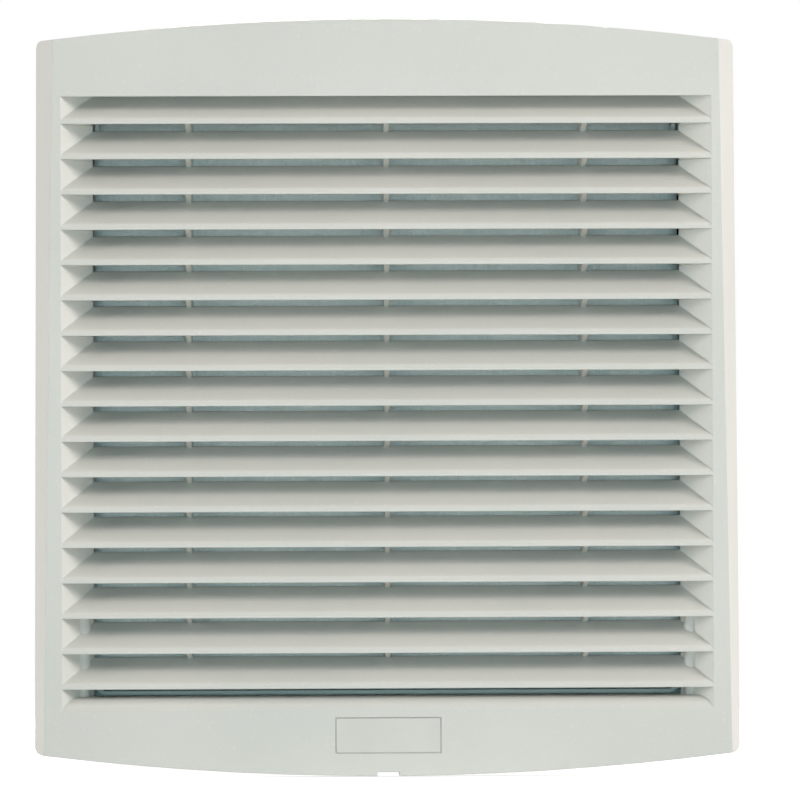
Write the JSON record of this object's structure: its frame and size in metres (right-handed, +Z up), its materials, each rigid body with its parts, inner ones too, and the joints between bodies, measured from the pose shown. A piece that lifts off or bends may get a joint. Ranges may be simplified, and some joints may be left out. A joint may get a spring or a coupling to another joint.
{
  "type": "cabinet filter fan",
  "caption": "Louvred filter fan for a cabinet panel: snap-in box with pull-off grille cover, filter mat, gasket, spring clips and a rear axial fan.",
  "frame": {"origin": "centre of the square panel cut-out, on the outer face of the panel", "axes": "+X to the right seen from the front, +Y into the cabinet, +Z up; the cover faces -Y"},
  "size_m": [0.2526, 0.1212, 0.268],
  "materials": {
    "cover_plastic": "fine moulded texture",
    "base_plastic": "fine moulded texture",
    "filter_fleece": "loose white fibre mat",
    "gasket_foam": "closed-cell foam",
    "clip_plastic": "moulded",
    "pin_steel": "drawn",
    "housing_black": "black die casting",
    "lamination_steel": "stacked sheet",
    "copper": "enamelled wire",
    "bearing_steel": "ground",
    "cap_plastic": "moulded",
    "rotor_black": "black painted steel",
    "impeller_plastic": "moulded",
    "guard_wire": "bright plated wire",
    "fastener_zinc": "zinc plated",
    "terminal_plastic": "moulded"
  },
  "bodies": {
    "base": {"base_frame": "base_plastic", "filter_tray": "base_plastic", "panel_gasket": "gasket_foam", "clip_pin_left_upper": "pin_steel", "clip_pin_left_lower": "pin_steel", "clip_pin_right_upper": "pin_steel", "clip_pin_right_lower": "pin_steel", "fan_housing": "housing_black", "stator_core": "lamination_steel", "stator_windings": "copper", "bearing_front": "bearing_steel", "bearing_rear": "bearing_steel", "bearing_cap": "cap_plastic", "finger_guard": "guard_wire", "fan_screw_1": "fastener_zinc", "fan_screw_2": "fastener_zinc", "fan_screw_3": "fastener_zinc", "fan_screw_4": "fastener_zinc", "guard_screw_1": "fastener_zinc", "guard_screw_2": "fastener_zinc", "guard_screw_3": "fastener_zinc", "guard_screw_4": "fastener_zinc", "guard_nut_1": "fastener_zinc", "guard_nut_2": "fastener_zinc", "guard_nut_3": "fastener_zinc", "guard_nut_4": "fastener_zinc", "terminal_screw_1": "fastener_zinc", "terminal_screw_2": "fastener_zinc", "terminal_screw_3": "fastener_zinc", "terminal_block": "terminal_plastic"},
    "cover": {"grille_cover": "cover_plastic"},
    "filter": {"filter_mat": "filter_fleece"},
    "impeller": {"motor_shaft": "bearing_steel", "shaft_clip": "bearing_steel", "rotor_cup": "rotor_black", "rotor_cage": "lamination_steel", "impeller": "impeller_plastic"},
    "clip_left_upper": {"clip_lever_left_upper": "clip_plastic"},
    "clip_left_lower": {"clip_lever_left_lower": "clip_plastic"},
    "clip_right_upper": {"clip_lever_right_upper": "clip_plastic"},
    "clip_right_lower": {"clip_lever_right_lower": "clip_plastic"}
  },
  "joints": [
    {"name": "cover_pull", "type": "slide", "parent": "base", "child": "cover", "axis": [0, -1, 0], "range_m": [0, 0.1]},
    {"name": "filter_pull", "type": "slide", "parent": "base", "child": "filter", "axis": [0, -1, 0], "range_m": [0, 0.05]},
    {"name": "impeller_spin", "type": "hinge", "parent": "base", "child": "impeller", "pos_m": [0, 0.06, 0], "axis": [0, 1, 0], "continuous": true},
    {"name": "clip_left_upper_flex", "type": "hinge", "parent": "base", "child": "clip_left_upper", "pos_m": [-0.1083, 0.0146, 0.068], "axis": [0, 0, 1], "range_deg": [0, 13.5], "stiffness_Nm_per_rad": 0.6},
    {"name": "clip_left_lower_flex", "type": "hinge", "parent": "base", "child": "clip_left_lower", "pos_m": [-0.1083, 0.0146, -0.068], "axis": [0, 0, 1], "range_deg": [0, 13.5], "stiffness_Nm_per_rad": 0.6},
    {"name": "clip_right_upper_flex", "type": "hinge", "parent": "base", "child": "clip_right_upper", "pos_m": [0.1083, 0.0146, 0.068], "axis": [0, 0, -1], "range_deg": [0, 13.5], "stiffness_Nm_per_rad": 0.6},
    {"name": "clip_right_lower_flex", "type": "hinge", "parent": "base", "child": "clip_right_lower", "pos_m": [0.1083, 0.0146, -0.068], "axis": [0, 0, -1], "range_deg": [0, 13.5], "stiffness_Nm_per_rad": 0.6}
  ],
  "couplings": [
    {"joint": "filter_pull", "follows": "cover_pull", "ratio": 0.5}
  ]
}
